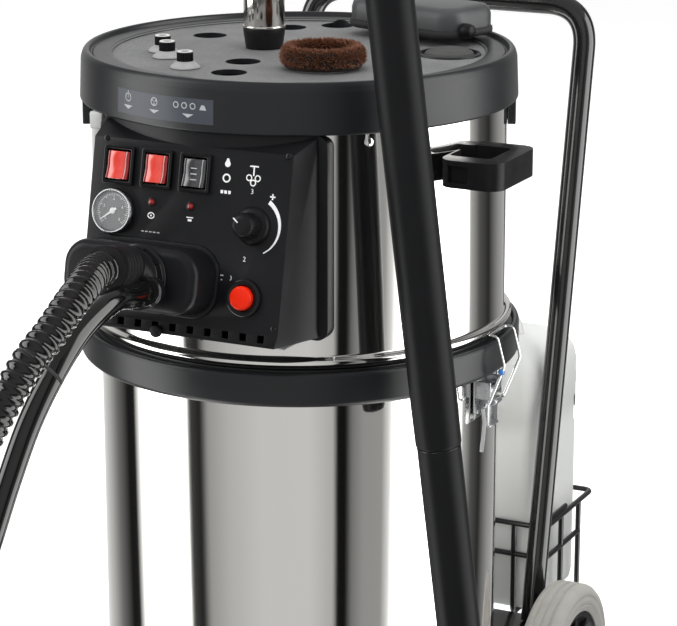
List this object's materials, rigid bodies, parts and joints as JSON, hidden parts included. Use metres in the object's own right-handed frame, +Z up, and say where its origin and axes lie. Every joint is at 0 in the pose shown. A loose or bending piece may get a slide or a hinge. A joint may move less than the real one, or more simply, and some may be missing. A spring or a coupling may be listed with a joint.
{
  "type": "steam cleaner",
  "caption": "Drum steam and vacuum cleaner on a trolley: steel tank, lift-off head with controls, hoses, wand, tool tray and water can.",
  "frame": {"origin": "middle of the machine's footprint, on the floor", "axes": "+Z up; -Y is the front with the control panel; the push handle and the can are at +Y; +X is the machine's side with the parked wand"},
  "size_m": [0.9598, 1.132, 0.9625],
  "materials": {
    "frame_black": "gloss black powder coat on steel tube",
    "wire_black": "black plastic coated steel wire",
    "shaft_steel": "drawn steel bar",
    "tyre": "warm grey solid rubber with moulded grooves",
    "hub": "black ribbed plastic wheel body",
    "castor_zinc": "zinc plated pressed steel",
    "castor_tread": "dark grey castor tread",
    "drum_steel": "mirror polished stainless sheet",
    "band": "anthracite moulded plastic",
    "seal": "black rubber gasket",
    "latch_steel": "bright plated spring steel",
    "inner_steel": "welded stainless sheet",
    "motor": "cast motor casing",
    "pump": "pump body and coil",
    "float": "black float cage",
    "float_ball": "pale hollow float ball",
    "panel": "black satin moulded housing",
    "rocker_red": "red illuminated rocker",
    "rocker_smoke": "smoked clear rocker",
    "gauge": "pressure gauge with grey dial",
    "gauge_needle": "white needle",
    "gauge_glass": "clear gauge window",
    "knob": "black knob",
    "button": "red push button",
    "plug": "black moulded plug",
    "handle_plastic": "black textured plastic",
    "tray": "anthracite moulded plastic with fine grain",
    "tube_chrome": "polished steel tube with black cuff",
    "bristle": "copper coloured wire bristle",
    "small_tool": "black collar on a grey bristle cone",
    "pad": "light grey pad with a black edge",
    "wand": "dark satin wand tube",
    "can": "translucent white polyethylene",
    "can_cap": "white screw cap",
    "hose": "glossy black corrugated suction hose",
    "steam_hose": "glossy smooth black steam hose",
    "gun": "black gun body",
    "gun_trigger": "red trigger"
  },
  "bodies": {
    "trolley": {"trolley_base": "frame_black", "push_handle": "frame_black", "wand_holder": "frame_black", "can_basket": "wire_black", "rear_axle": "shaft_steel", "lower_drum": "drum_steel", "drum_band": "band", "latch_base_left": "latch_steel", "latch_base_right": "latch_steel", "suction_hose_run": "hose", "steam_hose_run": "steam_hose", "hose_coil": "hose", "gun_body": "gun"},
    "head": {"upper_drum": "drum_steel", "head_seal": "seal", "bulkhead": "inner_steel", "boiler": "inner_steel", "suction_motor": "motor", "water_pump": "pump", "float_cage": "float", "control_housing": "panel", "gauge_body": "gauge", "gauge_lens": "gauge_glass", "connector_box": "panel", "hose_plug": "plug", "side_handle_left": "handle_plastic", "side_handle_right": "handle_plastic", "mains_inlet": "plug", "top_tray": "tray"},
    "wheel_left": {"wheel_tyre_left": "tyre", "wheel_hub_left": "hub"},
    "castor_left": {"castor_fork_left": "castor_zinc"},
    "castor_left_wheel": {"castor_wheel_left": "castor_tread"},
    "latch_left_lever": {"latch_lever_left": "latch_steel"},
    "latch_left_bail": {"latch_bail_left": "latch_steel"},
    "wheel_right": {"wheel_tyre_right": "tyre", "wheel_hub_right": "hub"},
    "castor_right": {"castor_fork_right": "castor_zinc"},
    "castor_right_wheel": {"castor_wheel_right": "castor_tread"},
    "latch_right_lever": {"latch_lever_right": "latch_steel"},
    "latch_right_bail": {"latch_bail_right": "latch_steel"},
    "rocker_1": {"rocker_1": "rocker_red"},
    "rocker_2": {"rocker_2": "rocker_red"},
    "rocker_3": {"rocker_3": "rocker_smoke"},
    "needle": {"gauge_needle": "gauge_needle"},
    "knob": {"regulator_knob": "knob"},
    "button": {"push_button": "button"},
    "float": {"float_ball": "float_ball"},
    "steel_tube": {"steel_tube": "tube_chrome"},
    "brush_ring": {"brush_ring": "bristle"},
    "small_brush_1": {"small_brush_1": "small_tool"},
    "small_brush_2": {"small_brush_2": "small_tool"},
    "small_brush_3": {"small_brush_3": "small_tool"},
    "pad_tool": {"pad_tool": "pad"},
    "wand_lower": {"wand_lower": "wand"},
    "wand_upper": {"wand_upper": "wand"},
    "can": {"can_body": "can"},
    "can_cap": {"can_cap": "can_cap"},
    "gun_trigger": {"gun_trigger": "gun_trigger"}
  },
  "joints": [
    {"name": "head_lift", "type": "slide", "parent": "trolley", "child": "head", "axis": [0, 0, 1], "range_m": [0, 0.2]},
    {"name": "wheel_left_spin", "type": "hinge", "parent": "trolley", "child": "wheel_left", "pos_m": [-0.226, 0.1539, 0.092], "axis": [1, 0, 0], "continuous": true},
    {"name": "castor_left_swivel", "type": "hinge", "parent": "trolley", "child": "castor_left", "pos_m": [-0.151, -0.1911, 0.11], "axis": [0, 0, 1], "continuous": true},
    {"name": "castor_left_roll", "type": "hinge", "parent": "castor_left", "child": "castor_left_wheel", "pos_m": [-0.151, -0.1671, 0.037], "axis": [1, 0, 0], "continuous": true},
    {"name": "latch_left_open", "type": "hinge", "parent": "trolley", "child": "latch_left_lever", "pos_m": [-0.224, -0.0471, 0.462], "axis": [0, 1, 0], "range_deg": [0, 110]},
    {"name": "latch_left_hook", "type": "hinge", "parent": "latch_left_lever", "child": "latch_left_bail", "pos_m": [-0.2285, -0.0471, 0.45], "axis": [0, 1, 0], "range_deg": [-143, 0]},
    {"name": "wheel_right_spin", "type": "hinge", "parent": "trolley", "child": "wheel_right", "pos_m": [0.204, 0.1539, 0.092], "axis": [1, 0, 0], "continuous": true},
    {"name": "castor_right_swivel", "type": "hinge", "parent": "trolley", "child": "castor_right", "pos_m": [0.129, -0.1911, 0.11], "axis": [0, 0, 1], "continuous": true},
    {"name": "castor_right_roll", "type": "hinge", "parent": "castor_right", "child": "castor_right_wheel", "pos_m": [0.129, -0.1671, 0.037], "axis": [1, 0, 0], "continuous": true},
    {"name": "latch_right_open", "type": "hinge", "parent": "trolley", "child": "latch_right_lever", "pos_m": [0.202, -0.0471, 0.462], "axis": [0, 1, 0], "range_deg": [-110, 0]},
    {"name": "latch_right_hook", "type": "hinge", "parent": "latch_right_lever", "child": "latch_right_bail", "pos_m": [0.2065, -0.0471, 0.45], "axis": [0, 1, 0], "range_deg": [0, 143]},
    {"name": "rocker_1_press", "type": "hinge", "parent": "head", "child": "rocker_1", "pos_m": [-0.0895, -0.25572, 0.69779], "axis": [1, 0, 0], "range_deg": [0, 12]},
    {"name": "rocker_2_press", "type": "hinge", "parent": "head", "child": "rocker_2", "pos_m": [-0.049, -0.25572, 0.69779], "axis": [1, 0, 0], "range_deg": [0, 12]},
    {"name": "rocker_3_press", "type": "hinge", "parent": "head", "child": "rocker_3", "pos_m": [-0.0085, -0.25572, 0.69779], "axis": [1, 0, 0], "range_deg": [0, 12]},
    {"name": "gauge_needle_turn", "type": "hinge", "parent": "head", "child": "needle", "pos_m": [-0.091, -0.26469, 0.65574], "axis": [0, 0.978, -0.2088], "range_deg": [0, 260]},
    {"name": "regulator_turn", "type": "hinge", "parent": "head", "child": "knob", "pos_m": [0.055, -0.26449, 0.65671], "axis": [0, 0.978, -0.2088], "range_deg": [0, 270]},
    {"name": "button_press", "type": "slide", "parent": "head", "child": "button", "axis": [0, 0.978, -0.2088], "range_m": [0, 0.003], "stiffness_N_per_m": 400},
    {"name": "float_rise", "type": "slide", "parent": "head", "child": "float", "axis": [0, 0, 1], "range_m": [0, 0.03]},
    {"name": "steel_tube_lift", "type": "slide", "parent": "head", "child": "steel_tube", "axis": [0, 0, 1], "range_m": [0, 0.15]},
    {"name": "brush_ring_lift", "type": "slide", "parent": "head", "child": "brush_ring", "axis": [0, 0, 1], "range_m": [0, 0.1]},
    {"name": "small_brush_1_lift", "type": "slide", "parent": "head", "child": "small_brush_1", "axis": [0, 0, 1], "range_m": [0, 0.08]},
    {"name": "small_brush_2_lift", "type": "slide", "parent": "head", "child": "small_brush_2", "axis": [0, 0, 1], "range_m": [0, 0.08]},
    {"name": "small_brush_3_lift", "type": "slide", "parent": "head", "child": "small_brush_3", "axis": [0, 0, 1], "range_m": [0, 0.08]},
    {"name": "pad_tool_lift", "type": "slide", "parent": "head", "child": "pad_tool", "axis": [0, 0, 1], "range_m": [0, 0.1]},
    {"name": "wand_lift", "type": "slide", "parent": "trolley", "child": "wand_lower", "axis": [-0.1014, -0.0516, 0.9935], "range_m": [0, 0.25]},
    {"name": "wand_telescope", "type": "slide", "parent": "wand_lower", "child": "wand_upper", "axis": [-0.1014, -0.0516, 0.9935], "range_m": [0, 0.1]},
    {"name": "can_lift", "type": "slide", "parent": "trolley", "child": "can", "axis": [0, 0, 1], "range_m": [0, 0.2]},
    {"name": "can_cap_unscrew", "type": "hinge", "parent": "can", "child": "can_cap", "pos_m": [-0.103, 0.2869, 0.43], "axis": [0, 0, 1], "range_deg": [0, 360]},
    {"name": "gun_trigger_squeeze", "type": "hinge", "parent": "trolley", "child": "gun_trigger", "pos_m": [-0.6053, -0.5664, 0.0525], "axis": [0, 0, 1], "range_deg": [-9, 0], "stiffness_Nm_per_rad": 0.4}
  ],
  "couplings": [
    {"joint": "latch_left_hook", "follows": "latch_left_open", "ratio": -1.3},
    {"joint": "latch_right_hook", "follows": "latch_right_open", "ratio": -1.3}
  ]
}
